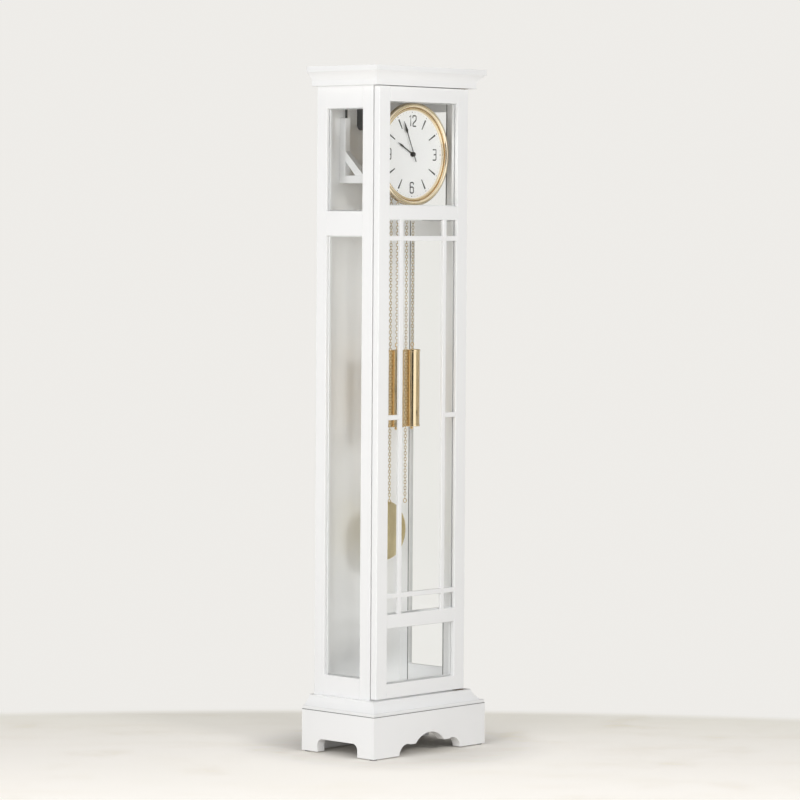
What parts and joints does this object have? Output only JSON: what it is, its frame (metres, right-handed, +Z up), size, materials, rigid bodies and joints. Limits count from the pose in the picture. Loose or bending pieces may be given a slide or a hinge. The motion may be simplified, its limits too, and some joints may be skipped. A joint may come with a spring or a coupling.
{
  "type": "longcase clock",
  "caption": "Slim white longcase clock with glazed door and sides, brass-bezelled dial, three chain-hung weights and a swinging pendulum on a scalloped plinth.",
  "frame": {"origin": "on the floor, under the middle of the plinth's footprint", "axes": "+Z up, -Y the dial's side, +X to the right as seen from the front"},
  "size_m": [0.46, 0.274, 1.9],
  "materials": {
    "painted_wood": "satin white lacquer over wood",
    "white_panel": "satin white lacquered panel",
    "clear_glass": "clear flat glass",
    "polished_brass": "polished, lacquered",
    "movement_brass": "satin, lacquered",
    "bright_steel": "fine ground",
    "black_metal": "matte black",
    "dial_white": "silky white enamel",
    "dark_plastic": "moulded plastic"
  },
  "bodies": {
    "root": {"levelling_glides": "dark_plastic", "plinth_front": "painted_wood", "plinth_sides": "painted_wood", "plinth_back_rail": "painted_wood", "base_moulding": "painted_wood", "case_floor": "painted_wood", "side_frame_left": "painted_wood", "side_frame_right": "painted_wood", "side_panes": "clear_glass", "side_beads": "painted_wood", "back_panel": "white_panel", "case_top": "painted_wood", "cornice": "painted_wood", "crown_board": "painted_wood", "hinge_fixed_leaves": "movement_brass", "magnet_catch": "dark_plastic", "seat_brackets": "painted_wood", "seat_board": "painted_wood", "seat_hangers": "black_metal", "movement_front_plate": "movement_brass", "movement_back_plate": "movement_brass", "movement_pillars": "movement_brass", "train_wheels": "movement_brass", "dial": "dial_white", "bezel": "polished_brass", "pendulum_cock": "movement_brass", "chime_block": "black_metal", "chime_rods": "bright_steel", "hammer_rack": "bright_steel", "chain_wraps": "movement_brass", "chain_left": "movement_brass", "chain_centre": "movement_brass", "chain_right": "movement_brass", "free_chain_left": "movement_brass", "free_chain_centre": "movement_brass", "free_chain_right": "movement_brass"},
    "door": {"door_stile_left": "painted_wood", "door_stile_right": "painted_wood", "door_rails": "painted_wood", "door_bars": "painted_wood", "door_panes": "clear_glass", "door_beads": "painted_wood", "hinge_door_leaves": "movement_brass", "catch_plate": "bright_steel"},
    "pendulum": {"pendulum_rod": "polished_brass", "pendulum_bob": "polished_brass", "rating_nut": "polished_brass"},
    "anchor": {"anchor_and_crutch": "bright_steel"},
    "minute_hand": {"minute_hand": "black_metal"},
    "hour_hand": {"hour_hand": "black_metal"},
    "hammers": {"chime_hammers": "bright_steel"},
    "weight_left": {"weight_left": "polished_brass"},
    "ring_left": {"chain_ring_left": "movement_brass"},
    "sprocket_left": {"sprocket_left": "movement_brass"},
    "weight_centre": {"weight_centre": "polished_brass"},
    "ring_centre": {"chain_ring_centre": "movement_brass"},
    "sprocket_centre": {"sprocket_centre": "movement_brass"},
    "weight_right": {"weight_right": "polished_brass"},
    "ring_right": {"chain_ring_right": "movement_brass"},
    "sprocket_right": {"sprocket_right": "movement_brass"}
  },
  "joints": [
    {"name": "door_swing", "type": "hinge", "parent": "root", "child": "door", "pos_m": [0.1735, -0.0925, 1], "axis": [0, 0, 1], "range_deg": [0, 110]},
    {"name": "pendulum_swing", "type": "hinge", "parent": "root", "child": "pendulum", "pos_m": [0, 0.0415, 1.6975], "axis": [0, 1, 0], "range_deg": [-3, 3]},
    {"name": "anchor_rock", "type": "hinge", "parent": "root", "child": "anchor", "pos_m": [0, 0.0415, 1.6975], "axis": [0, 1, 0], "range_deg": [-3, 3]},
    {"name": "minute_hand_turn", "type": "hinge", "parent": "root", "child": "minute_hand", "pos_m": [0, -0.0535, 1.661], "axis": [0, 1, 0], "continuous": true},
    {"name": "hour_hand_turn", "type": "hinge", "parent": "root", "child": "hour_hand", "pos_m": [0, -0.0535, 1.661], "axis": [0, 1, 0], "continuous": true},
    {"name": "hammers_lift", "type": "hinge", "parent": "root", "child": "hammers", "pos_m": [0.03, 0.0325, 1.682], "axis": [1, 0, 0], "range_deg": [0, 10]},
    {"name": "weight_left_drop", "type": "slide", "parent": "root", "child": "weight_left", "axis": [0, 0, -1], "range_m": [-0.42, 0.65], "deforming": ["chain_left"]},
    {"name": "ring_left_rise", "type": "slide", "parent": "root", "child": "ring_left", "axis": [0, 0, 1], "range_m": [-0.42, 0.65], "deforming": ["free_chain_left"]},
    {"name": "sprocket_left_turn", "type": "hinge", "parent": "root", "child": "sprocket_left", "pos_m": [-0.051, -0.0005, 1.64], "axis": [0, 1, 0], "range_deg": [-2870, 1860]},
    {"name": "weight_centre_drop", "type": "slide", "parent": "root", "child": "weight_centre", "axis": [0, 0, -1], "range_m": [-0.42, 0.65], "deforming": ["chain_centre"]},
    {"name": "ring_centre_rise", "type": "slide", "parent": "root", "child": "ring_centre", "axis": [0, 0, 1], "range_m": [-0.42, 0.65], "deforming": ["free_chain_centre"]},
    {"name": "sprocket_centre_turn", "type": "hinge", "parent": "root", "child": "sprocket_centre", "pos_m": [-0.013, -0.0005, 1.64], "axis": [0, 1, 0], "range_deg": [-1860, 2870]},
    {"name": "weight_right_drop", "type": "slide", "parent": "root", "child": "weight_right", "axis": [0, 0, -1], "range_m": [-0.42, 0.65], "deforming": ["chain_right"]},
    {"name": "ring_right_rise", "type": "slide", "parent": "root", "child": "ring_right", "axis": [0, 0, 1], "range_m": [-0.42, 0.65], "deforming": ["free_chain_right"]},
    {"name": "sprocket_right_turn", "type": "hinge", "parent": "root", "child": "sprocket_right", "pos_m": [0.051, -0.0005, 1.64], "axis": [0, 1, 0], "range_deg": [-1860, 2870]}
  ],
  "couplings": [
    {"joint": "anchor_rock", "follows": "pendulum_swing", "ratio": 1},
    {"joint": "hour_hand_turn", "follows": "minute_hand_turn", "ratio": 0.083333},
    {"joint": "ring_left_rise", "follows": "weight_left_drop", "ratio": 1},
    {"joint": "sprocket_left_turn", "follows": "weight_left_drop", "rad_per_m": -76.923},
    {"joint": "ring_centre_rise", "follows": "weight_centre_drop", "ratio": 1},
    {"joint": "sprocket_centre_turn", "follows": "weight_centre_drop", "rad_per_m": 76.923},
    {"joint": "ring_right_rise", "follows": "weight_right_drop", "ratio": 1},
    {"joint": "sprocket_right_turn", "follows": "weight_right_drop", "rad_per_m": 76.923}
  ]
}
